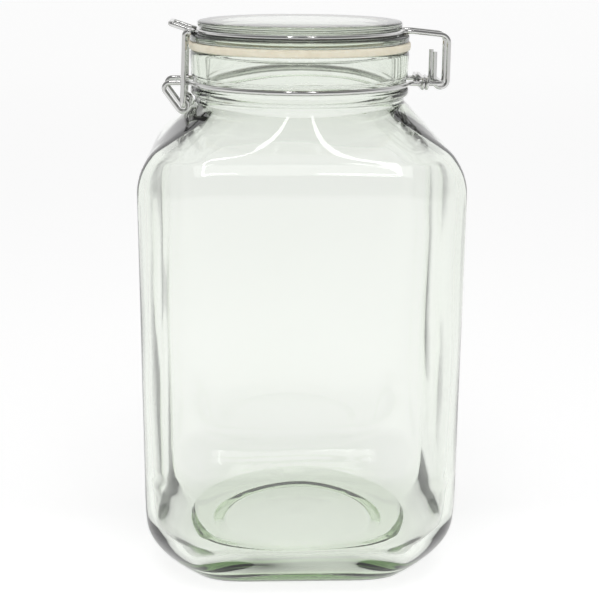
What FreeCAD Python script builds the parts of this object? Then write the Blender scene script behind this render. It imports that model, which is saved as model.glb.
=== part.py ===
"""Bail clamp jar: a square glass jar with a wire-hinged glass lid and a wire clamp.

Millimetres, +Z up. The origin is on the surface that the jar stands on, on the axis of its neck.
The clamp is on the -X side and the hinge on the +X side.
"""
import FreeCAD, Part
import math
import os

import Sketcher
from FreeCAD import Vector

DOC = FreeCAD.newDocument("bail_clamp_jar")

# ---------------------------------------------------------------- driving dimensions

DIMENSIONS = [
    # glass body
    ("body_half", 67.7, "half the width across the flats"),
    ("body_corner", 26.5, "radius of the upright corners"),
    ("body_top", 197.5, "top of the square block, inside the neck"),
    ("wall", 3.7, "thickness of the body's wall"),
    ("shoulder_round", 25.0, "rounding of the block's top edges"),
    ("heel_round", 25.0, "rounding of the block's bottom edges"),
    ("shoulder_radius", 83.0, "radius of the dome that eases the top corners, outside"),
    ("shoulder_in_radius", 79.3, "radius of the same dome inside"),
    ("shoulder_top_r", 60.0, "where the outer dome's arc starts"),
    ("shoulder_top_z", 207.6, ""),
    ("shoulder_foot_r", 91.0, "where the outer dome's arc ends, past the corners"),
    ("shoulder_foot_z", 159.2, ""),
    ("shoulder_in_top_r", 60.0, "the same arc inside"),
    ("shoulder_in_top_z", 203.1, ""),
    ("shoulder_in_foot_r", 87.0, ""),
    ("shoulder_in_foot_z", 160.0, ""),
    ("heel_radius", 65.0, "radius of the arc that eases the bottom corners, outside"),
    ("heel_in_radius", 61.3, "radius of the same arc inside"),
    ("heel_ring_r", 61.0, "where the outer arc meets the standing level"),
    ("heel_top_r", 88.0, "where the outer arc ends, past the corners"),
    ("heel_top_z", 52.0, ""),
    ("heel_in_ring_r", 66.0, "where the inner arc meets the floor"),
    ("heel_in_top_r", 84.3, ""),
    ("floor_z", 9.0, "inner floor outside the raised middle"),
    ("plateau_z", 13.5, "raised middle of the inner floor"),
    ("plateau_r", 49.0, ""),
    ("plateau_foot_r", 52.0, ""),
    ("recess_r", 39.5, "edge of the hollow under the base"),
    ("recess_in_r", 34.0, ""),
    ("recess_z", 2.5, "height of the hollow at its edge"),
    ("recess_mid_z", 3.5, "height of the hollow in the middle"),
    ("clear_r", 120.0, "radius past every part of the body"),
    # neck
    ("neck_root_z", 186.0, "start of the neck inside the shoulder"),
    ("neck_r", 45.2, "outside of the neck"),
    ("mouth_r", 40.5, "inside of the neck"),
    ("bead_low_z", 208.2, "bead under the wire"),
    ("bead_r", 47.0, ""),
    ("bead_in_z", 209.0, ""),
    ("bead_top_z", 211.4, ""),
    ("groove_r", 46.0, "bottom of the wire's groove"),
    ("groove_low_z", 212.2, ""),
    ("groove_top_z", 215.8, ""),
    ("rim_low_r", 46.6, "band between the groove and the rim"),
    ("rim_low_z", 216.6, ""),
    ("rim_r", 47.0, ""),
    ("rim_edge_z", 226.9, ""),
    ("rim_face_r", 46.2, "edge of the rim's flat face"),
    ("rim_z", 227.7, "flat face under the gasket"),
    ("mouth_edge_r", 41.3, ""),
    # gasket
    ("gasket_r", 47.5, "outside of the rubber ring"),
    ("gasket_in_r", 37.0, "inside of the rubber ring"),
    ("gasket_top_z", 231.0, ""),
    # glass lid
    ("boss_z", 224.0, "underside of the boss that reaches into the mouth"),
    ("boss_r", 36.0, ""),
    ("boss_edge_r", 34.5, ""),
    ("boss_edge_z", 225.5, ""),
    ("flange_r", 46.9, ""),
    ("flange_top_z", 234.0, ""),
    ("lid_groove_r", 42.2, "bottom of the lid wire's groove"),
    ("disc_low_z", 237.2, ""),
    ("disc_r", 43.8, ""),
    ("disc_edge_z", 238.8, ""),
    ("disc_face_r", 42.4, "edge of the lid's top face"),
    ("disc_face_z", 239.7, ""),
    ("lid_top_z", 240.0, "middle of the lid's slightly domed top"),
    # wires
    ("neck_wire_r", 1.05, "radius of the neck wire"),
    ("neck_ring_r", 47.15, "centre line of the ring round the neck"),
    ("neck_ring_z", 214.0, ""),
    ("clamp_arm_y", 10.0, "half the distance between the clamp-side arms"),
    ("hinge_arm_y", 11.0, "half the distance between the hinge-side arms"),
    ("arm_bend", 3.0, "bend between the ring and an arm"),
    ("crossbar_x", 60.5, "centre line of the hinge crossbar"),
    ("crossbar_bend", 2.4, "bend between an arm and the crossbar"),
    ("hairpin_bend", 2.35, "bend at the outer end of a clamp arm"),
    ("eye_r", 2.6, "centre line of the eye that holds a latch pin"),
    ("pivot_x", -50.0, "axis of the latch pins"),
    ("pivot_z", 204.4, ""),
    ("strand_lean", 35.8, "lean from upright of the strand between hairpin and eye, degrees"),
    ("eye_end", 120.0, "where the eye's wire ends, degrees from outward"),
    ("tie_wire_r", 0.8, "radius of the tie wire"),
    ("tie_x", 52.6, "middle of the tie"),
    ("tie_pitch", 1.75, "distance between the tie's two turns"),
    ("tie_gap", 0.15, "gap between the tie and the arms"),
    ("tie_bend", 1.95, "bend at the corners of the tie"),
    ("lid_wire_r", 1.0, "radius of the lid wire"),
    ("lid_ring_r", 43.5, "centre line of the ring in the lid's groove"),
    ("lid_ring_z", 235.35, ""),
    ("lid_arm_y", 6.0, "half the distance between the lid wire's two arms"),
    ("lid_arm_bend", 3.0, ""),
    ("knee_bend", 3.6, "bend between a lid arm and its upright"),
    ("knee_drop", 1.6, "how far the lid arm falls before its upright"),
    ("arm_level_run", 2.5, "level start of the lid arm"),
    ("dip_bend", 20.0, "bend where the lid arm starts to fall"),
    ("hook_bend", 2.9, "bend of the hook under the crossbar"),
    ("hook_gap", 0.1, "gap between the hook and the crossbar"),
    ("hook_end_z", 227.0, "free end of the hook"),
    ("latch_wire_r", 1.15, "radius of the latch wire"),
    ("leg_y", 12.5, "half the distance between the latch's legs"),
    ("pin_end_y", 7.3, "inner end of a latch pin"),
    ("leg_top_x", -48.6, "top of a leg"),
    ("latch_hook_x", -45.3, "centre line of the hooks that press on the flange"),
    ("latch_hook_z", 235.3, ""),
    ("tab_x", -54.8, "finger tab's crossbar"),
    ("tab_y", 8.0, "half the width of the finger tab"),
    ("tab_z", 238.5, ""),
    ("latch_bend", 1.5, "bends of the latch wire"),
]

SHEET = DOC.addObject("Spreadsheet::Sheet", "Sizes")
for row, (alias, value, note) in enumerate(DIMENSIONS, start=1):
    SHEET.set(f"A{row}", alias)
    SHEET.set(f"B{row}", str(value))
    SHEET.set(f"C{row}", note)
    SHEET.setAlias(f"B{row}", alias)
DOC.recompute()


def size(alias):
    """A driving dimension, read back from the sheet."""
    return float(SHEET.get(alias))


# ---------------------------------------------------------------- sketch helpers


def new_body(label):
    """An empty PartDesign body."""
    body = DOC.addObject("PartDesign::Body", label)
    body.Label = label
    return body


def plane_of(body, role):
    """One of the body's own origin planes."""
    return next(f for f in body.Origin.OriginFeatures if f.Role == role)


def new_sketch(body, name, role="XZ_Plane"):
    """A sketch on one of the body's origin planes."""
    sketch = body.newObject("Sketcher::SketchObject", name)
    sketch.AttachmentSupport = [(plane_of(body, role), "")]
    sketch.MapMode = "FlatFace"
    return sketch


def bind(sketch, constraint, name, expression):
    """Add a dimensional constraint and drive it from the sheet."""
    index = sketch.addConstraint(constraint)
    sketch.renameConstraint(index, name)
    sketch.setExpression(f"Constraints.{name}", expression)


def level(value):
    """The number behind a corner's coordinate, which is an alias or zero."""
    return size(value) if value else 0.0


def arc_between(start, end, radius):
    """The short circular arc from start to end that bulges away from the axis."""
    middle = (start + end) * 0.5
    half = end - start
    across = Vector(-half.y, half.x, 0).normalize()
    centre = middle - across * math.sqrt(radius**2 - (half.Length / 2) ** 2)
    if centre.x > middle.x:
        centre = middle * 2 - centre
    angles = [math.atan2(p.y - centre.y, p.x - centre.x) for p in (start, end)]
    turn = (angles[1] - angles[0]) % (2 * math.pi)
    forward = turn < math.pi
    first, last = angles if forward else angles[::-1]
    circle = Part.Circle(centre, Vector(0, 0, 1), radius)
    return Part.ArcOfCircle(circle, first, last), forward


def add_profile(sketch, corners, arcs=None):
    """A closed outline through corners (radius alias, level alias); arcs maps a corner's number
    to the alias of the radius of the arc that leaves it. An empty alias is zero."""
    arcs = arcs or {}
    points = [Vector(level(r), level(z), 0) for r, z in corners]
    ends = []
    for number, point in enumerate(points):
        target = points[(number + 1) % len(points)]
        if number in arcs:
            arc, forward = arc_between(point, target, size(arcs[number]))
            geometry = sketch.addGeometry(arc)
            bind(sketch, Sketcher.Constraint("Radius", geometry, size(arcs[number])),
                 f"arc{number}", f"Sizes.{arcs[number]}")
            ends.append((geometry, 1, 2) if forward else (geometry, 2, 1))
        else:
            geometry = sketch.addGeometry(Part.LineSegment(point, target))
            ends.append((geometry, 1, 2))
    for number, (radius, height) in enumerate(corners):
        geometry, start, _ = ends[number]
        before, _, end = ends[number - 1]
        sketch.addConstraint(Sketcher.Constraint("Coincident", before, end, geometry, start))
        if radius:
            bind(sketch, Sketcher.Constraint("DistanceX", -1, 1, geometry, start, size(radius)),
                 f"r{number}", f"Sizes.{radius}")
        else:
            sketch.addConstraint(Sketcher.Constraint("PointOnObject", geometry, start, -2))
        if height:
            bind(sketch, Sketcher.Constraint("DistanceY", -1, 1, geometry, start, size(height)),
                 f"z{number}", f"Sizes.{height}")
        else:
            sketch.addConstraint(Sketcher.Constraint("PointOnObject", geometry, start, -1))


def turned(body, kind, name, corners, arcs=None):
    """A full turn of a profile about the upright axis, added or cut."""
    sketch = new_sketch(body, f"{name}_profile")
    add_profile(sketch, corners, arcs)
    feature = body.newObject(f"PartDesign::{kind}", name)
    feature.Profile = sketch
    feature.ReferenceAxis = (sketch, ["V_Axis"])
    feature.Angle = 360
    return feature


def square_block(body, name, half, corner, low, high):
    """A pad with rounded upright corners. Its sizes are expressions on the sheet."""
    sketch = new_sketch(body, f"{name}_outline", "XY_Plane")
    edge = size("body_half") - 10
    bend = 5.0
    run = edge - bend
    turn = math.pi / 2
    lines = []
    curves = []
    for side in range(4):
        spin = FreeCAD.Rotation(Vector(0, 0, 1), 90 * side)
        start = spin.multVec(Vector(edge, -run, 0))
        end = spin.multVec(Vector(edge, run, 0))
        centre = spin.multVec(Vector(run, run, 0))
        lines.append(sketch.addGeometry(Part.LineSegment(start, end)))
        circle = Part.Circle(centre, Vector(0, 0, 1), bend)
        curves.append(sketch.addGeometry(Part.ArcOfCircle(circle, turn * side, turn * (side + 1))))
    for side in range(4):
        sketch.addConstraint(Sketcher.Constraint("Tangent", lines[side], 2, curves[side], 1))
        sketch.addConstraint(
            Sketcher.Constraint("Tangent", curves[side], 2, lines[(side + 1) % 4], 1))
        direction = "Horizontal" if side % 2 else "Vertical"
        sketch.addConstraint(Sketcher.Constraint(direction, lines[side]))
        if side:
            sketch.addConstraint(Sketcher.Constraint("Equal", curves[0], curves[side]))
    bind(sketch, Sketcher.Constraint("Radius", curves[0], bend), "corner", corner)
    bind(sketch, Sketcher.Constraint("DistanceX", -1, 1, lines[0], 1, edge), "right", half)
    bind(sketch, Sketcher.Constraint("DistanceX", lines[2], 1, -1, 1, edge), "left", half)
    bind(sketch, Sketcher.Constraint("DistanceY", -1, 1, lines[1], 1, edge), "back", half)
    bind(sketch, Sketcher.Constraint("DistanceY", lines[3], 1, -1, 1, edge), "front", half)
    sketch.setExpression("AttachmentOffset.Base.z", low)
    pad = body.newObject("PartDesign::Pad", name)
    pad.Profile = sketch
    pad.setExpression("Length", high)
    return pad


# ---------------------------------------------------------------- glass and rubber


def edge_names(shape, height):
    """The names of a shape's edges that lie flat at one level."""
    names = []
    for number, edge in enumerate(shape.Edges, start=1):
        if all(abs(vertex.Z - height) < 0.01 for vertex in edge.Vertexes):
            names.append(f"Edge{number}")
    return names


def round_edges(body, name, base, height, radius):
    """Round the edges of a body's feature that lie at one level."""
    DOC.recompute()
    fillet = body.newObject("PartDesign::Fillet", name)
    fillet.Base = (base, edge_names(base.Shape, height))
    fillet.setExpression("Radius", radius)
    DOC.recompute()
    return fillet


def make_outside():
    """The jar's outer form: a square block with rounded edges and eased corners, a turned neck,
    and a hollow under the base."""
    body = new_body("jar_outside")
    block = square_block(body, "block", "Sizes.body_half", "Sizes.body_corner", "0 mm",
                         "Sizes.body_top")
    crown = round_edges(body, "crown", block, size("body_top"), "Sizes.shoulder_round")
    round_edges(body, "heel_edge", crown, 0.0, "Sizes.heel_round")
    turned(body, "Groove", "shoulder",
           [("shoulder_top_r", "shoulder_top_z"), ("clear_r", "shoulder_top_z"),
            ("clear_r", "shoulder_foot_z"), ("shoulder_foot_r", "shoulder_foot_z")],
           {3: "shoulder_radius"})
    turned(body, "Groove", "heel",
           [("heel_ring_r", ""), ("heel_top_r", "heel_top_z"), ("clear_r", "heel_top_z"),
            ("clear_r", "")],
           {0: "heel_radius"})
    turned(body, "Revolution", "neck",
           [("", "neck_root_z"), ("neck_r", "neck_root_z"), ("neck_r", "bead_low_z"),
            ("bead_r", "bead_in_z"), ("bead_r", "bead_top_z"), ("groove_r", "groove_low_z"),
            ("groove_r", "groove_top_z"), ("rim_low_r", "rim_low_z"), ("rim_r", "rim_edge_z"),
            ("rim_face_r", "rim_z"), ("", "rim_z")])
    turned(body, "Groove", "recess",
           [("", ""), ("recess_r", ""), ("recess_in_r", "recess_z"), ("", "recess_mid_z")])
    return body


def make_inside():
    """The space inside the jar, with a raised middle in its floor."""
    body = new_body("jar_inside")
    cavity = square_block(body, "cavity", "Sizes.body_half - Sizes.wall",
                          "Sizes.body_corner - Sizes.wall", "Sizes.floor_z",
                          "Sizes.body_top - Sizes.wall - Sizes.floor_z")
    ceiling = size("body_top") - size("wall")
    crown = round_edges(body, "inner_crown", cavity, ceiling, "Sizes.shoulder_round - Sizes.wall")
    round_edges(body, "inner_heel_edge", crown, size("floor_z"), "Sizes.heel_round - Sizes.wall")
    turned(body, "Groove", "inner_shoulder",
           [("shoulder_in_top_r", "shoulder_in_top_z"), ("clear_r", "shoulder_in_top_z"),
            ("clear_r", "shoulder_in_foot_z"), ("shoulder_in_foot_r", "shoulder_in_foot_z")],
           {3: "shoulder_in_radius"})
    turned(body, "Groove", "inner_heel",
           [("heel_in_ring_r", "floor_z"), ("heel_in_top_r", "heel_top_z"),
            ("clear_r", "heel_top_z"), ("clear_r", "floor_z")],
           {0: "heel_in_radius"})
    turned(body, "Groove", "plateau",
           [("", "floor_z"), ("plateau_foot_r", "floor_z"), ("plateau_r", "plateau_z"),
            ("", "plateau_z")])
    turned(body, "Revolution", "mouth",
           [("", "neck_root_z"), ("mouth_r", "neck_root_z"), ("mouth_r", "rim_edge_z"),
            ("mouth_edge_r", "rim_z"), ("mouth_edge_r", "gasket_top_z"), ("", "gasket_top_z")])
    return body


def make_jar():
    """The glass jar: its outer form less the space inside."""
    jar = DOC.addObject("Part::Cut", "jar_glass")
    jar.Base = make_outside()
    jar.Tool = make_inside()
    return jar


def make_lid():
    """The glass lid: a boss for the mouth, a flange on the gasket, a groove and a top disc."""
    body = new_body("lid_glass")
    turned(body, "Revolution", "lid_turning",
           [("", "boss_z"), ("boss_edge_r", "boss_z"), ("boss_r", "boss_edge_z"),
            ("boss_r", "gasket_top_z"), ("flange_r", "gasket_top_z"),
            ("flange_r", "flange_top_z"), ("lid_groove_r", "flange_top_z"),
            ("lid_groove_r", "disc_low_z"), ("disc_r", "disc_low_z"), ("disc_r", "disc_edge_z"),
            ("disc_face_r", "disc_face_z"), ("", "lid_top_z")])
    return body


def make_gasket():
    """The flat rubber ring between the rim and the flange."""
    body = new_body("gasket")
    turned(body, "Revolution", "ring",
           [("gasket_in_r", "rim_z"), ("gasket_r", "rim_z"), ("gasket_r", "gasket_top_z"),
            ("gasket_in_r", "gasket_top_z")])
    return body


# ---------------------------------------------------------------- bent wire


def arc_edge(start, middle, end):
    """An arc through three points."""
    return Part.Arc(start, middle, end).toShape()


def bent(points, radii):
    """Edges along a bent wire: straight runs between points, with a tangent arc of the given
    radius at each inner point."""
    edges = []
    here = points[0]
    for before, corner, after, radius in zip(points, points[1:], points[2:], radii):
        back = (before - corner).normalize()
        ahead = (after - corner).normalize()
        half = back.getAngle(ahead) / 2
        setback = radius / math.tan(half)
        toward = (back + ahead).normalize()
        enter = corner + back * setback
        leave = corner + ahead * setback
        middle = corner + toward * (radius / math.sin(half) - radius)
        edges.append(Part.LineSegment(here, enter).toShape())
        edges.append(arc_edge(enter, middle, leave))
        here = leave
    edges.append(Part.LineSegment(here, points[-1]).toShape())
    return edges


def ring_to_arm(ring_r, arm_y, bend, side, half):
    """The bend from a ring to an arm that leaves along X at arm_y. side is -1 for the clamp and
    +1 for the hinge; half is -1 for the front of the ring and +1 for the back.
    Returns the point on the ring, the middle of the bend and the point on the arm."""
    reach = math.sqrt((ring_r + bend) ** 2 - (arm_y + bend) ** 2)
    centre = Vector(side * reach, half * (arm_y + bend), 0)
    on_ring = centre * (ring_r / (ring_r + bend))
    on_arm = Vector(side * reach, half * arm_y, 0)
    toward = ((on_ring - centre) + (on_arm - centre)).normalize()
    return on_ring, centre + toward * bend, on_arm


def raised(points, height):
    """The same points at another level."""
    return [Vector(p.x, p.y, height) for p in points]


def swept_wire(label, edges, radius_alias):
    """A round wire swept along its centre line, which is kept as an object of its own."""
    path = DOC.addObject("Part::Feature", f"{label}_centre_line")
    path.Shape = Part.Wire(edges)
    first = path.Shape.Edges[0]
    start = first.valueAt(first.FirstParameter)
    heading = first.tangentAt(first.FirstParameter)
    section = DOC.addObject("Part::Circle", f"{label}_section")
    section.setExpression("Radius", f"Sizes.{radius_alias}")
    section.Placement = FreeCAD.Placement(start, FreeCAD.Rotation(Vector(0, 0, 1), heading))
    wire = DOC.addObject("Part::Sweep", label)
    wire.Sections = [section]
    wire.Spine = (path, [f"Edge{number}" for number in range(1, len(edges) + 1)])
    wire.Solid = True
    wire.Frenet = False
    return wire


def clamp_end(half):
    """The neck wire from an eye to its clamp arm: eye, strand and hairpin, in one upright plane."""
    side_y = half * size("clamp_arm_y")
    eye = Vector(size("pivot_x"), side_y, size("pivot_z"))
    lean = math.radians(size("strand_lean"))
    down = Vector(math.sin(lean), 0, -math.cos(lean))
    outward = Vector(-math.cos(lean), 0, -math.sin(lean))
    radius = size("eye_r")

    def on_eye(degrees):
        angle = math.radians(degrees)
        return eye + Vector(math.cos(angle), 0, math.sin(angle)) * radius

    touch = eye + outward * radius
    touch_angle = 180 + size("strand_lean")
    end_angle = size("eye_end")
    middle = on_eye((touch_angle + end_angle + 360) / 2)
    bend = size("hairpin_bend")
    centre_z = size("neck_ring_z") - bend
    along = (touch + outward * -bend - Vector(0, 0, centre_z)).z / down.z
    centre = touch - outward * bend - down * along
    strand_top = centre + outward * bend
    arm_start = Vector(centre.x, side_y, size("neck_ring_z"))
    toward = ((strand_top - centre) + (arm_start - centre)).normalize()
    return [
        arc_edge(on_eye(end_angle), middle, touch),
        Part.LineSegment(touch, strand_top).toShape(),
        arc_edge(strand_top, centre + toward * bend, arm_start),
    ], arm_start


def backward(edges):
    """The same run of wire in the other order."""
    return edges[::-1]


def make_neck_wire():
    """One wire: eye, hairpin, arm, front half of the ring, hinge arm, crossbar, and back."""
    height = size("neck_ring_z")
    ring_r = size("neck_ring_r")
    crossbar_x = size("crossbar_x")
    hinge_y = size("hinge_arm_y")
    halves = []
    for half in (-1, 1):
        ending, arm_start = clamp_end(half)
        clamp = raised(ring_to_arm(ring_r, size("clamp_arm_y"), size("arm_bend"), -1, half), height)
        hinge = raised(ring_to_arm(ring_r, hinge_y, size("arm_bend"), 1, half), height)
        side = Vector(0, half * ring_r, height)
        halves.append(ending + [
            Part.LineSegment(arm_start, clamp[2]).toShape(),
            arc_edge(clamp[2], clamp[1], clamp[0]),
            arc_edge(clamp[0], side, hinge[0]),
            arc_edge(hinge[0], hinge[1], hinge[2]),
        ])
    crossbar = bent(
        [hinge_point(-1, height), Vector(crossbar_x, -hinge_y, height),
         Vector(crossbar_x, hinge_y, height), hinge_point(1, height)],
        [size("crossbar_bend")] * 2)
    return swept_wire("neck_wire", halves[0] + crossbar + backward(halves[1]), "neck_wire_r")


def hinge_point(half, height):
    """Where the neck wire's bend meets its hinge arm."""
    bend = ring_to_arm(size("neck_ring_r"), size("hinge_arm_y"), size("arm_bend"), 1, half)
    return raised(bend, height)[2]


def make_hinge_tie():
    """Two turns of thin wire round both hinge arms, from over the middle and back to it."""
    reach = size("neck_wire_r") + size("tie_gap") + size("tie_wire_r")
    side_y = size("hinge_arm_y") + reach
    centre_z = size("neck_ring_z")
    pitch = size("tie_pitch")
    corners = [(side_y, reach), (side_y, -reach), (-side_y, -reach), (-side_y, reach)] * 2
    start_x = size("tie_x") - pitch
    points = [Vector(start_x, 0, centre_z + reach)]
    for number, (y, rise) in enumerate(corners):
        turns = (number + 0.5) / 4
        points.append(Vector(start_x + pitch * turns, y, centre_z + rise))
    points.append(Vector(start_x + 2 * pitch, 0, centre_z + reach))
    return swept_wire("hinge_tie", bent(points, [size("tie_bend")] * len(corners)), "tie_wire_r")


def make_lid_wire():
    """One wire: a hook under the crossbar, an upright, an arm, the ring in the lid's groove, and
    the same again on the other side."""
    height = size("lid_ring_z")
    ring_r = size("lid_ring_r")
    arm_y = size("lid_arm_y")
    hook = size("hook_bend")
    crossbar_x = size("crossbar_x")
    outer_x = crossbar_x + hook
    inner_x = crossbar_x - hook
    bottom = size("neck_ring_z") - size("neck_wire_r") - size("hook_gap") - size("lid_wire_r")
    halves = []
    for half in (-1, 1):
        y = half * arm_y
        ring = raised(ring_to_arm(ring_r, arm_y, size("lid_arm_bend"), 1, half), height)
        centre_z = bottom + hook
        hook_edges = [
            Part.LineSegment(Vector(inner_x, y, size("hook_end_z")),
                             Vector(inner_x, y, centre_z)).toShape(),
            arc_edge(Vector(inner_x, y, centre_z), Vector(crossbar_x, y, bottom),
                     Vector(outer_x, y, centre_z)),
        ]
        dip = ring[2] + Vector(size("arm_level_run"), 0, 0)
        knee = bent([Vector(outer_x, y, centre_z), Vector(outer_x, y, height - size("knee_drop")),
                     dip, ring[2]], [size("knee_bend"), size("dip_bend")])
        halves.append(hook_edges + knee + [arc_edge(ring[2], ring[1], ring[0])])
        if half < 0:
            front = ring[0]
        else:
            back = ring[0]
    round_lid = arc_edge(front, Vector(-ring_r, 0, height), back)
    return swept_wire("lid_wire", halves[0] + [round_lid] + backward(halves[1]), "lid_wire_r")


def make_latch_wire():
    """One wire loop: pin, leg, hook and finger tab on one side, then the other."""
    pivot_x = size("pivot_x")
    pivot_z = size("pivot_z")
    leg_y = size("leg_y")
    tab_y = size("tab_y")
    hook_x = size("latch_hook_x")
    hook_z = size("latch_hook_z")
    side = [
        Vector(pivot_x, size("pin_end_y"), pivot_z),
        Vector(pivot_x, leg_y, pivot_z),
        Vector(size("leg_top_x"), leg_y, hook_z),
        Vector(hook_x, leg_y, hook_z),
        Vector(hook_x, tab_y, hook_z),
        Vector(size("tab_x"), tab_y, size("tab_z")),
    ]
    near = [Vector(p.x, -p.y, p.z) for p in side]
    points = near + side[::-1]
    edges = bent(points, [size("latch_bend")] * (len(points) - 2))
    return swept_wire("latch_wire", edges, "latch_wire_r")


# ---------------------------------------------------------------- checks and files


def check_model(pieces):
    """Stop if any object failed or any piece isn't one valid solid."""
    for item in DOC.Objects:
        if "Invalid" in item.State or "Error" in item.State:
            raise RuntimeError(f"{item.Name} failed: {item.State}")
    for piece in pieces:
        shape = piece.Shape
        if shape.isNull() or not shape.isValid() or len(shape.Solids) != 1:
            raise RuntimeError(f"{piece.Label} isn't one valid solid")
        print(f"{piece.Label}: {shape.Volume / 1000:.2f} cm3, {shape.BoundBox}")


def check_wire(piece):
    """Compare a wire's volume with its section times its length."""
    length = piece.Spine[0].Shape.Length
    section = math.pi * piece.Sections[0].Radius.Value ** 2
    ratio = piece.Shape.Volume / (section * length)
    print(f"{piece.Label}: length {length:.1f} mm, volume ratio {ratio:.4f}")
    if abs(ratio - 1) > 0.01:
        raise RuntimeError(f"{piece.Label} doesn't follow its centre line")


WIRES = [make_neck_wire(), make_hinge_tie(), make_lid_wire(), make_latch_wire()]
PIECES = [make_jar(), make_lid(), make_gasket()] + WIRES
DOC.recompute()
check_model(PIECES)
for wire in WIRES:
    check_wire(wire)
os.makedirs("parts", exist_ok=True)
for piece in PIECES:
    piece.Shape.exportStep(f"parts/{piece.Label}.step")
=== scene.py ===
"""Bail clamp jar: the looks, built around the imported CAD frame. Metres, +Z up."""

import math

import bpy
from mathutils import Matrix, Vector, noise


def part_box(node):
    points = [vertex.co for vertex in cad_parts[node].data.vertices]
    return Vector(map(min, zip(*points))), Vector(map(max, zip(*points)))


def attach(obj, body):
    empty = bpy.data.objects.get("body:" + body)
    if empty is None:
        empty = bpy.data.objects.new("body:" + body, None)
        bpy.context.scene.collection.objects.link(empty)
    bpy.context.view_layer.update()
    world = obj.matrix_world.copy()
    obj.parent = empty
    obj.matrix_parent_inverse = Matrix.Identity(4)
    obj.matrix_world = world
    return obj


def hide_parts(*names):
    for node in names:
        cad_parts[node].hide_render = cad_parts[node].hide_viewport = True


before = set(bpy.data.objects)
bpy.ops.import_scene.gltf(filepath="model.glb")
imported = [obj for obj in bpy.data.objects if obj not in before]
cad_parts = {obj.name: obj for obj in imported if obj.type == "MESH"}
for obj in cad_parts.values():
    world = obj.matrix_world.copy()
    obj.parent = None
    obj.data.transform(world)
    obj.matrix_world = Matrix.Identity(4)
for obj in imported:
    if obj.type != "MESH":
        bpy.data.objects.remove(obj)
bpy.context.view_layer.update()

MM = 0.001
AROUND = 512

# ---------------------------------------------------------------- sizes read from the frame

JAR_LOW, JAR_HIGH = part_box("jar_glass")
LID_LOW, LID_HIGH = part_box("lid_glass")
GASKET_LOW, GASKET_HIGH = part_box("gasket")

HALF = JAR_HIGH.x
RIM_Z = JAR_HIGH.z
GASKET_R = GASKET_HIGH.x
FLANGE_R = LID_HIGH.x
LID_TOP = LID_HIGH.z
LID_LOW_Z = LID_LOW.z
GASKET_IN_R = 37.0 * MM

# ---------------------------------------------------------------- mesh helpers


def smooth_least(first, second, width):
    """The lesser of two values, blended over width where they are close."""
    share = min(max(0.5 + 0.5 * (second - first) / width, 0.0), 1.0)
    return second * (1 - share) + first * share - width * share * (1 - share)


def square_reach(angle, half, corner):
    """Distance from the axis to the side of a square with rounded corners."""
    along = abs(math.cos(angle))
    across = abs(math.sin(angle))
    flat = half / max(along, across)
    centre = half - corner
    if flat * min(along, across) <= centre:
        return flat
    toward = centre * (along + across)
    return toward + math.sqrt(max(toward**2 - 2 * centre**2 + corner**2, 0.0))


def rounded(corners, radius, steps=4):
    """An open outline of (r, z) corners with each inner corner rounded."""
    points = [corners[0]]
    for before, corner, after in zip(corners, corners[1:], corners[2:]):
        here = Vector(corner)
        back = Vector(before) - here
        ahead = Vector(after) - here
        reach = min(radius, back.length * 0.45, ahead.length * 0.45)
        start = here + back.normalized() * reach
        end = here + ahead.normalized() * reach
        for step in range(steps + 1):
            t = step / steps
            points.append(tuple(start * (1 - t) ** 2 + here * 2 * t * (1 - t) + end * t**2))
    points.append(corners[-1])
    return points


def skin(name, rings, closed=False):
    """A smooth mesh over rings of points. An open stack is capped by a point at each end."""
    count = len(rings[0])
    vertices = [p for ring in rings for p in ring]
    faces = []
    stacks = len(rings) if closed else len(rings) - 1
    for level in range(stacks):
        low = level * count
        high = (level + 1) % len(rings) * count
        for k in range(count):
            after = (k + 1) % count
            faces.append((low + k, low + after, high + after, high + k))
    if not closed:
        for level, flip in ((0, True), (len(rings) - 1, False)):
            middle = sum((Vector(p) for p in rings[level]), Vector()) / count
            vertices.append(tuple(middle))
            tip = len(vertices) - 1
            base = level * count
            for k in range(count):
                after = (k + 1) % count
                faces.append((base + after, base + k, tip) if flip
                             else (base + k, base + after, tip))
    mesh = bpy.data.meshes.new(name)
    mesh.from_pydata(vertices, [], faces)
    mesh.polygons.foreach_set("use_smooth", [True] * len(mesh.polygons))
    mesh.update()
    piece = bpy.data.objects.new(name, mesh)
    bpy.context.scene.collection.objects.link(piece)
    return piece


def turned(name, outline, closed=False):
    """A mesh turned about the Z axis from an outline of (r, z) points."""
    rings = []
    for r, z in outline:
        rings.append([(r * math.cos(2 * math.pi * k / AROUND),
                       r * math.sin(2 * math.pi * k / AROUND), z) for k in range(AROUND)])
    return skin(name, rings, closed)


# ---------------------------------------------------------------- the jar's body

WALL = 3.7 * MM
CORNER = 26.5 * MM
BODY_TOP = 197.5 * MM
CROWN_ROUND = 25.0 * MM
HEEL_ROUND = 25.0 * MM
EASE = 6.0 * MM
NECK_R = 45.2 * MM
NECK_BLEND = 2.0 * MM
CROWN_END = math.radians(45)
FLARE_BEND_Z = 200.0 * MM
FLARE_BEND_SHARE = 0.35
FLARE_TOP = 206.0 * MM
MOUTH_R = 40.5 * MM
FLOOR_Z = 9.0 * MM
PLATEAU_Z = 13.5 * MM
PLATEAU_R = 49.0 * MM
PLATEAU_FOOT_R = 52.0 * MM
FLOOR_RING_R = 38.0 * MM
RECESS_R = 39.5 * MM
RECESS_IN_R = 34.0 * MM
RECESS_Z = 2.5 * MM
RECESS_MID_Z = 3.5 * MM
FLOOR_STEPS = 30
FLOOR_RADII = (30.0 * MM, 20.0 * MM, 10.0 * MM, 0.5 * MM)
HEEL_STEPS = 40
SIDE_STEPS = 60
CROWN_STEPS = 40
FLARE_STEPS = 30
EASED_BELOW_CROWN = 20
EASE_PASSES = 24
WAVE_LENGTH = 30 * MM
WAVE_HEIGHT = 0.4 * MM

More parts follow.
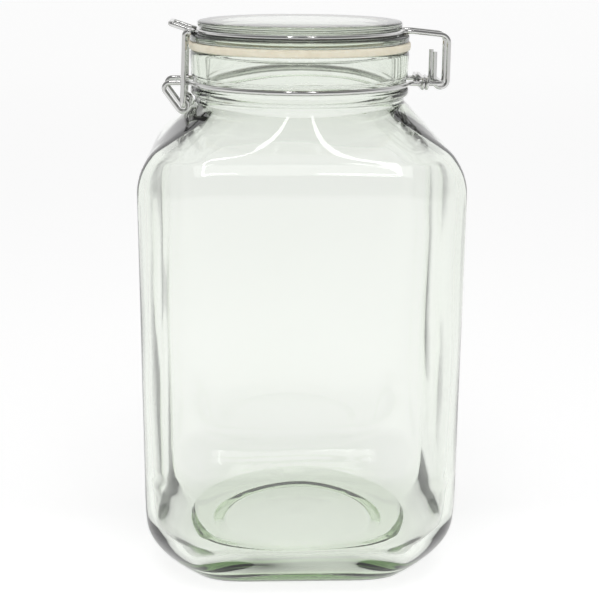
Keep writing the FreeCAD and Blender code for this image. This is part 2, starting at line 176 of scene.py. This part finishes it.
# Each arc eases the corners: its two ends (r, z) and its radius.
DOME = ((60.0 * MM, 207.6 * MM), (91.0 * MM, 159.2 * MM), 83.0 * MM)
DOME_INSIDE = ((60.0 * MM, 203.1 * MM), (87.0 * MM, 160.0 * MM), 79.3 * MM)
TAPER = ((61.0 * MM, 0.0), (88.0 * MM, 52.0 * MM), 65.0 * MM)
TAPER_INSIDE = ((66.0 * MM, 9.0 * MM), (84.3 * MM, 52.0 * MM), 61.3 * MM)


def arc_reach(arc, height):
    """Distance from the axis to an arc that bulges outward, at one level, or far out past it."""
    (start_r, start_z), (end_r, end_z), radius = arc
    low, high = sorted((start_z, end_z))
    if not low <= height <= high:
        return 1.0
    run = Vector((end_r - start_r, end_z - start_z))
    across = Vector((-run.y, run.x)).normalized()
    middle = Vector((start_r + end_r, start_z + end_z)) / 2
    offset = across * math.sqrt(radius**2 - (run.length / 2) ** 2)
    centre = min(middle - offset, middle + offset, key=lambda point: point.x)
    return centre.x + math.sqrt(max(radius**2 - (height - centre.y) ** 2, 0.0))


def body_ring(height, half, corner, arcs, least=0.0):
    """One ring of the body: a rounded square held inside the arcs that ease its corners."""
    limit = min(arc_reach(arc, height) for arc in arcs)
    ring = []
    for k in range(AROUND):
        angle = 2 * math.pi * (k + 0.5) / AROUND
        reach = smooth_least(square_reach(angle, half, corner), limit, EASE)
        reach = -smooth_least(-reach, -least, NECK_BLEND)
        ring.append((reach * math.cos(angle), reach * math.sin(angle), height))
    return ring


def round_ring(radius, height):
    """One ring of the neck or the base."""
    return [(radius * math.cos(2 * math.pi * (k + 0.5) / AROUND),
             radius * math.sin(2 * math.pi * (k + 0.5) / AROUND), height)
            for k in range(AROUND)]


def between(first, second, share):
    """The ring part of the way from one ring to another."""
    return [tuple(Vector(a).lerp(Vector(b), share)) for a, b in zip(first, second)]


def body_rings(inset, low, high, arcs, neck_r):
    """The rings of the body from the bottom to the foot of the neck, for one side of the wall."""
    half = HALF - inset
    corner = CORNER - inset
    heel = HEEL_ROUND - inset
    crown = CROWN_ROUND - inset
    rings = []
    for step in range(HEEL_STEPS):
        turn = math.pi / 2 * step / HEEL_STEPS
        cut = heel * (1 - math.sin(turn))
        rings.append(body_ring(low + heel * (1 - math.cos(turn)), half - cut, corner - cut, arcs))
    side_low = low + heel
    side_high = high - crown
    for step in range(SIDE_STEPS):
        height = side_low + (side_high - side_low) * step / SIDE_STEPS
        rings.append(body_ring(height, half, corner, arcs))
    for step in range(CROWN_STEPS + 1):
        turn = CROWN_END * step / CROWN_STEPS
        cut = crown * (1 - math.cos(turn))
        rings.append(body_ring(high - crown * (1 - math.sin(turn)), half - cut,
                               max(corner - cut, 0.5 * MM), arcs, neck_r))
    joined = rings + flare(rings[-1], neck_r, FLARE_BEND_Z - inset, FLARE_TOP - inset)
    return eased(joined, len(rings) - EASED_BELOW_CROWN, EASE_PASSES)


def flare(ring, neck_r, bend_z, top):
    """Rings that sweep up from the crown into the neck with a hollow curve."""
    rings = [[] for _ in range(FLARE_STEPS)]
    for x, y, z in ring:
        start = Vector((math.hypot(x, y), z))
        bend = Vector((neck_r + FLARE_BEND_SHARE * (start.x - neck_r), bend_z))
        end = Vector((neck_r, top))
        for step, level in enumerate(rings, start=1):
            t = step / len(rings)
            point = start * (1 - t) ** 2 + bend * 2 * t * (1 - t) + end * t**2
            level.append((x * point.x / start.x, y * point.x / start.x, point.y))
    return rings


def eased(rings, first, passes):
    """The same rings with the run from one of them upward smoothed along the wall."""
    rings = [[Vector(point) for point in ring] for ring in rings]
    for _ in range(passes):
        before = [list(ring) for ring in rings]
        for level in range(first, len(rings) - 1):
            rings[level] = [(a + b * 2 + c) / 4 for a, b, c in
                            zip(before[level - 1], before[level], before[level + 1])]
    return [[tuple(point) for point in ring] for ring in rings]


def wave_inside(ring, strength):
    """Push a ring of the inner wall in and out a little, as pressed glass is uneven inside."""
    moved = []
    for x, y, z in ring:
        shift = noise.noise(Vector((x, y, z * 0.6)) / WAVE_LENGTH) * strength
        reach = math.hypot(x, y) or 1.0
        moved.append((x * (1 + shift / reach), y * (1 + shift / reach), z))
    return moved


def raise_floor(ring):
    """Lift a ring of the inner floor onto the raised middle where it lies under it."""
    lifted = []
    for x, y, z in ring:
        share = (PLATEAU_FOOT_R - math.hypot(x, y)) / (PLATEAU_FOOT_R - PLATEAU_R)
        share = min(max(share, 0.0), 1.0)
        share = share * share * (3 - 2 * share)
        lifted.append((x, y, max(z, FLOOR_Z + (PLATEAU_Z - FLOOR_Z) * share)))
    return lifted


def base_rings(foot):
    """The underside: the hollow, its edge and the flat ring that the jar stands on."""
    hollow = rounded([(0.5 * MM, RECESS_MID_Z), (RECESS_IN_R, RECESS_Z), (RECESS_R, 0.0),
                      (RECESS_R + 1.5 * MM, 0.0)], 1.2 * MM)
    rings = [round_ring(r, z) for r, z in hollow]
    edge = rings[-1]
    rings += [between(edge, foot, share) for share in (0.25, 0.5, 0.75)]
    return rings


def floor_rings(foot):
    """The inner floor from the foot of the wall to the middle, over its raised part."""
    inner = round_ring(FLOOR_RING_R, FLOOR_Z)
    rings = [between(foot, inner, step / FLOOR_STEPS) for step in range(1, FLOOR_STEPS + 1)]
    rings += [round_ring(r, FLOOR_Z) for r in FLOOR_RADII]
    return rings


def make_jar_body():
    """The glass jar as one closed skin: out over the base and the wall, over the rim, and back
    down inside to the floor."""
    outer = body_rings(0.0, 0.0, BODY_TOP, (DOME, TAPER), NECK_R)
    inner = body_rings(WALL, FLOOR_Z, BODY_TOP - WALL, (DOME_INSIDE, TAPER_INSIDE), MOUTH_R)
    neck = rounded([
        (NECK_R, FLARE_TOP + 0.5 * MM), (NECK_R, 208.2 * MM), (47.0 * MM, 209.0 * MM),
        (47.0 * MM, 211.4 * MM), (46.0 * MM, 212.2 * MM), (46.0 * MM, 215.8 * MM),
        (46.6 * MM, 216.6 * MM), (47.0 * MM, RIM_Z - 1.2 * MM), (46.0 * MM, RIM_Z),
        (41.4 * MM, RIM_Z), (MOUTH_R, RIM_Z - 1.0 * MM), (MOUTH_R, FLARE_TOP)], 0.9 * MM)
    rings = base_rings(outer[0]) + outer
    rings += [round_ring(r, z) for r, z in neck]
    rings += [wave_inside(raise_floor(ring), WAVE_HEIGHT) for ring in inner[::-1]]
    rings += [wave_inside(raise_floor(ring), WAVE_HEIGHT) for ring in floor_rings(inner[0])]
    return skin("jar_body", rings)


def make_lid():
    """The pressed glass lid: boss, flange, wire groove and top disc."""
    outline = rounded([
        (0.3 * MM, LID_LOW_Z), (34.0 * MM, LID_LOW_Z), (36.0 * MM, 226 * MM), (36.0 * MM, 231 * MM),
        (FLANGE_R, 231 * MM), (FLANGE_R, 234 * MM), (42.2 * MM, 234 * MM), (42.2 * MM, 237.2 * MM),
        (43.8 * MM, 237.2 * MM), (43.8 * MM, 239.4 * MM), (41.5 * MM, 239.7 * MM),
        (20 * MM, LID_TOP - 0.1 * MM), (0.3 * MM, LID_TOP)], 0.8 * MM)
    return turned("lid_pressed", outline)


def make_gasket():
    """The rubber ring, with soft edges."""
    low = GASKET_LOW.z
    high = GASKET_HIGH.z
    inner = GASKET_IN_R
    middle = (inner + GASKET_R) / 2
    outline = rounded([
        (middle, low), (GASKET_R, low), (GASKET_R, high), (inner, high), (inner, low),
        (middle, low)], 0.9 * MM)
    return turned("gasket_ring", outline[:-1], closed=True)


# ---------------------------------------------------------------- materials


def new_material(name):
    """An empty node material with its output and a Principled shader."""
    material = bpy.data.materials.new(name)
    material.use_nodes = True
    nodes = material.node_tree.nodes
    nodes.clear()
    shader = nodes.new("ShaderNodeBsdfPrincipled")
    output = nodes.new("ShaderNodeOutputMaterial")
    material.node_tree.links.new(shader.outputs["BSDF"], output.inputs["Surface"])
    return material, shader, output


def add_noise(material, scale, detail):
    """A noise texture in object coordinates."""
    nodes = material.node_tree.nodes
    links = material.node_tree.links
    place = nodes.new("ShaderNodeTexCoord")
    texture = nodes.new("ShaderNodeTexNoise")
    texture.inputs["Scale"].default_value = scale
    texture.inputs["Detail"].default_value = detail
    links.new(place.outputs["Object"], texture.inputs["Vector"])
    return texture


def add_bump(material, shader, height, strength, distance):
    """A bump from a height output into the shader's normal."""
    bump = material.node_tree.nodes.new("ShaderNodeBump")
    bump.inputs["Strength"].default_value = strength
    bump.inputs["Distance"].default_value = distance
    material.node_tree.links.new(height, bump.inputs["Height"])
    material.node_tree.links.new(bump.outputs["Normal"], shader.inputs["Normal"])


def add_ramp(material, source, stops):
    """A colour ramp over a factor."""
    ramp = material.node_tree.nodes.new("ShaderNodeValToRGB")
    elements = ramp.color_ramp.elements
    for element, (place, colour) in zip(elements, (stops[0], stops[-1])):
        element.position = place
        element.color = (*colour, 1)
    for place, colour in stops[1:-1]:
        elements.new(place).color = (*colour, 1)
    material.node_tree.links.new(source, ramp.inputs["Fac"])
    return ramp.outputs["Color"]


GLASS_IOR = 1.5
GLASS_TINT = (0.48, 0.63, 0.37, 1)
JAR_DENSITY = 26.0
LID_DENSITY = 6.0


def glass_material(name, density):
    """Clear pressed glass, faintly green where it is thick, with a gentle waviness."""
    material, shader, output = new_material(name)
    shader.inputs["Base Color"].default_value = (1, 1, 1, 1)
    shader.inputs["Transmission Weight"].default_value = 1.0
    shader.inputs["IOR"].default_value = GLASS_IOR
    shader.inputs["Roughness"].default_value = 0.0
    waves = add_noise(material, 30.0, 1.0)
    add_bump(material, shader, waves.outputs["Fac"], 0.1, 1.0 * MM)
    depth = material.node_tree.nodes.new("ShaderNodeVolumeAbsorption")
    depth.inputs["Color"].default_value = GLASS_TINT
    depth.inputs["Density"].default_value = density
    material.node_tree.links.new(depth.outputs["Volume"], output.inputs["Volume"])
    return material


def rubber_material():
    """Matt cream rubber with faint mottling."""
    material, shader, _ = new_material("cream_rubber")
    spots = add_noise(material, 260.0, 4.0)
    colour = add_ramp(material, spots.outputs["Fac"],
                      [(0.3, (0.80, 0.74, 0.58)), (0.7, (0.88, 0.83, 0.68))])
    material.node_tree.links.new(colour, shader.inputs["Base Color"])
    shader.inputs["Roughness"].default_value = 0.55
    shader.inputs["Subsurface Weight"].default_value = 0.15
    shader.inputs["Subsurface Radius"].default_value = (0.002, 0.0015, 0.001)
    add_bump(material, shader, spots.outputs["Fac"], 0.3, 0.1 * MM)
    return material


def chrome_material():
    """Bright plated wire with a faint drawn grain."""
    material, shader, _ = new_material("plated_wire")
    shader.inputs["Base Color"].default_value = (0.60, 0.60, 0.59, 1)
    shader.inputs["Metallic"].default_value = 1.0
    grain = add_noise(material, 420.0, 3.0)
    rough = add_ramp(material, grain.outputs["Fac"], [(0.3, (0.06,) * 3), (0.75, (0.16,) * 3)])
    material.node_tree.links.new(rough, shader.inputs["Roughness"])
    add_bump(material, shader, grain.outputs["Fac"], 0.15, 0.05 * MM)
    return material


def paint(piece, material):
    """Put one material on a piece."""
    slots = piece.data.materials
    if len(slots):
        for index in range(len(slots)):
            slots[index] = material
    else:
        slots.append(material)


# ---------------------------------------------------------------- the object

jar_body = make_jar_body()
paint(jar_body, glass_material("jar_glass_clear", JAR_DENSITY))
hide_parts("jar_glass")
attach(jar_body, "jar")

lid_pressed = make_lid()
paint(lid_pressed, glass_material("lid_glass_clear", LID_DENSITY))
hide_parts("lid_glass")
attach(lid_pressed, "lid")

gasket_ring = make_gasket()
paint(gasket_ring, rubber_material())
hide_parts("gasket")
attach(gasket_ring, "lid")

CHROME = chrome_material()
for node in ("neck_wire", "hinge_tie", "lid_wire", "latch_wire"):
    paint(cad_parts[node], CHROME)

# ---------------------------------------------------------------- floor, light and camera

FLOOR_SIZE = 40.0
FLOOR_GAP = 0.1 * MM
FLOOR_GLOW = 0.90
FLOOR_FADE = (-0.9, 2.1)
# Painted light in the floor's glow: a bright pool from 0.2 to 0.27 (just in front of the jar),
# dimmer bands around it.
FLOOR_PAINTED_LIGHT_STOPS = [(0.0, 0.74), (0.12, 0.76), (0.2, 1.0), (0.27, 1.0), (0.31, 0.74), (0.57, 0.75),
               (1.0, 0.78)]
WORLD_STOPS = [(0.0, 0.22), (0.35, 0.26), (0.6, 0.55), (0.8, 1.0)]
HORIZON_GREY = 0.93
HORIZON_RISE = (0.03, 0.2)
SOFTBOX_PLACE = (0.0, -0.42, 0.95)
SOFTBOX_TARGET = (0, 0, 0.17)
SOFTBOX_WIDTH = 0.8
SOFTBOX_DEPTH = 0.5
SOFTBOX_POWER = 3.2


def fade_along_y(nodes, links, coordinate, low, high, stops):
    """Colours that change from low to high along Y of a texture coordinate."""
    split = nodes.new("ShaderNodeSeparateXYZ")
    links.new(coordinate, split.inputs["Vector"])
    span = nodes.new("ShaderNodeMapRange")
    span.inputs["From Min"].default_value = low
    span.inputs["From Max"].default_value = high
    links.new(split.outputs["Y"], span.inputs["Value"])
    ramp = nodes.new("ShaderNodeValToRGB")
    elements = ramp.color_ramp.elements
    for element, (place, grey) in zip(elements, (stops[0], stops[-1])):
        element.position = place
        element.color = (grey, grey, grey, 1)
    for place, grey in stops[1:-1]:
        elements.new(place).color = (grey, grey, grey, 1)
    links.new(span.outputs["Result"], ramp.inputs["Fac"])
    return ramp.outputs["Color"]


def make_floor():
    """A pale glowing floor with painted light: a bright pool just in front of the jar and dimmer
    glow elsewhere.
    """
    mesh = bpy.data.meshes.new("floor")
    h = FLOOR_SIZE
    z = -FLOOR_GAP
    mesh.from_pydata([(-h, -h, z), (h, -h, z), (h, h, z), (-h, h, z)], [], [(0, 1, 2, 3)])
    floor = bpy.data.objects.new("floor", mesh)
    bpy.context.scene.collection.objects.link(floor)
    material, shader, _ = new_material("pale_floor_painted_light")
    nodes = material.node_tree.nodes
    place = nodes.new("ShaderNodeTexCoord")
    glow = fade_along_y(nodes, material.node_tree.links, place.outputs["Object"],
                        *FLOOR_FADE, FLOOR_PAINTED_LIGHT_STOPS)
    # The floor's emission carries painted light: a bright pool just in front of the jar, dimmer
    # elsewhere.
    material.node_tree.links.new(glow, shader.inputs["Emission Color"])
    shader.inputs["Emission Strength"].default_value = FLOOR_GLOW
    shader.inputs["Base Color"].default_value = (0.42, 0.42, 0.42, 1)
    shader.inputs["Roughness"].default_value = 0.9
    paint(floor, material)


def make_world():
    """Surroundings that are pale all round at the horizon and dim high on the front side."""
    world = bpy.data.worlds.new("studio")
    bpy.context.scene.world = world
    world.use_nodes = True
    nodes = world.node_tree.nodes
    links = world.node_tree.links
    place = nodes.new("ShaderNodeTexCoord")
    grey = fade_along_y(nodes, links, place.outputs["Generated"], -1.0, 1.0, WORLD_STOPS)
    split = nodes.new("ShaderNodeSeparateXYZ")
    links.new(place.outputs["Generated"], split.inputs["Vector"])
    rise = nodes.new("ShaderNodeMapRange")
    rise.inputs["From Min"].default_value = HORIZON_RISE[0]
    rise.inputs["From Max"].default_value = HORIZON_RISE[1]
    links.new(split.outputs["Z"], rise.inputs["Value"])
    blend = nodes.new("ShaderNodeMixRGB")
    blend.inputs["Color1"].default_value = (HORIZON_GREY, HORIZON_GREY, HORIZON_GREY, 1)
    links.new(rise.outputs["Result"], blend.inputs["Fac"])
    links.new(grey, blend.inputs["Color2"])
    links.new(blend.outputs["Color"], nodes["Background"].inputs["Color"])
    nodes["Background"].inputs["Strength"].default_value = 1.0


def area_light(name, place, target, width, height, power):
    """A soft rectangular light that faces a target."""
    data = bpy.data.lights.new(name, "AREA")
    data.shape = "RECTANGLE"
    data.size = width
    data.size_y = height
    data.energy = power
    light = bpy.data.objects.new(name, data)
    light.location = place
    direction = Vector(target) - Vector(place)
    light.rotation_euler = direction.to_track_quat("-Z", "Y").to_euler()
    light.visible_glossy = False
    bpy.context.scene.collection.objects.link(light)


STREAK_WIDTH = 0.02
STREAK_GLOW = 7.0
STREAKS = [
    [(side * 0.115, -0.48, 0.63), (side * 0.095, -0.22, 0.79), (side * 0.05, -0.07, 0.86)]
    for side in (-1, 1)
] + [
    [(side * 0.115, -0.48, 0.63), (side * 0.035, -0.46, 0.65)] for side in (-1, 1)
]


def glowing_sheet(name, paths, strength):
    """Thin glowing strips, as the bright edges of a softbox, above and in front of the jar."""
    vertices = []
    faces = []
    for path in paths:
        for start, end in zip(path, path[1:]):
            run = Vector(end) - Vector(start)
            side = run.cross(Vector((0, 0.6, -0.8))).normalized() * STREAK_WIDTH / 2
            base = len(vertices)
            for point, shift in ((start, side), (start, -side), (end, -side), (end, side)):
                vertices.append(tuple(Vector(point) + shift))
            faces.append((base, base + 1, base + 2, base + 3))
    mesh = bpy.data.meshes.new(name)
    mesh.from_pydata(vertices, [], faces)
    sheet = bpy.data.objects.new(name, mesh)
    bpy.context.scene.collection.objects.link(sheet)
    material, shader, _ = new_material(name)
    shader.inputs["Base Color"].default_value = (0, 0, 0, 1)
    shader.inputs["Emission Color"].default_value = (1, 1, 1, 1)
    shader.inputs["Emission Strength"].default_value = strength
    paint(sheet, material)


CAMERA_DISTANCE = 0.569
CAMERA_HEIGHT = 0.277
CAMERA_TILT = math.radians(15.85)
CAMERA_TURN = math.radians(2.0)
CAMERA_PAN = 0.0010
CAMERA_ROLL = math.radians(0.37)
CAMERA_LENS = 78.43


def make_camera():
    """The camera in front of the jar, a little to the clamp's side and above the lid."""
    tilt = CAMERA_TILT
    forward = Vector((math.sin(CAMERA_PAN) * math.cos(tilt),
                      math.cos(CAMERA_PAN) * math.cos(tilt), -math.sin(tilt)))
    right = Vector((math.cos(CAMERA_PAN), -math.sin(CAMERA_PAN), 0))
    up = right.cross(forward)
    turn = Matrix.Rotation(-CAMERA_TURN, 3, "Z")
    roll = Matrix.Rotation(-CAMERA_ROLL, 3, forward)
    axes = [turn @ roll @ v for v in (right, up, -forward)]
    matrix = Matrix(axes).transposed().to_4x4()
    matrix.translation = turn @ Vector((0, -CAMERA_DISTANCE, CAMERA_HEIGHT))
    data = bpy.data.cameras.new("camera")
    data.lens = CAMERA_LENS
    data.sensor_width = 36.0
    camera = bpy.data.objects.new("camera", data)
    camera.matrix_world = matrix
    bpy.context.scene.collection.objects.link(camera)
    bpy.context.scene.camera = camera


make_floor()
make_world()
area_light("softbox_over", SOFTBOX_PLACE, SOFTBOX_TARGET, SOFTBOX_WIDTH, SOFTBOX_DEPTH,
           SOFTBOX_POWER)
glowing_sheet("softbox_streaks", STREAKS, STREAK_GLOW)
make_camera()
bpy.context.scene.view_settings.view_transform = "Standard"
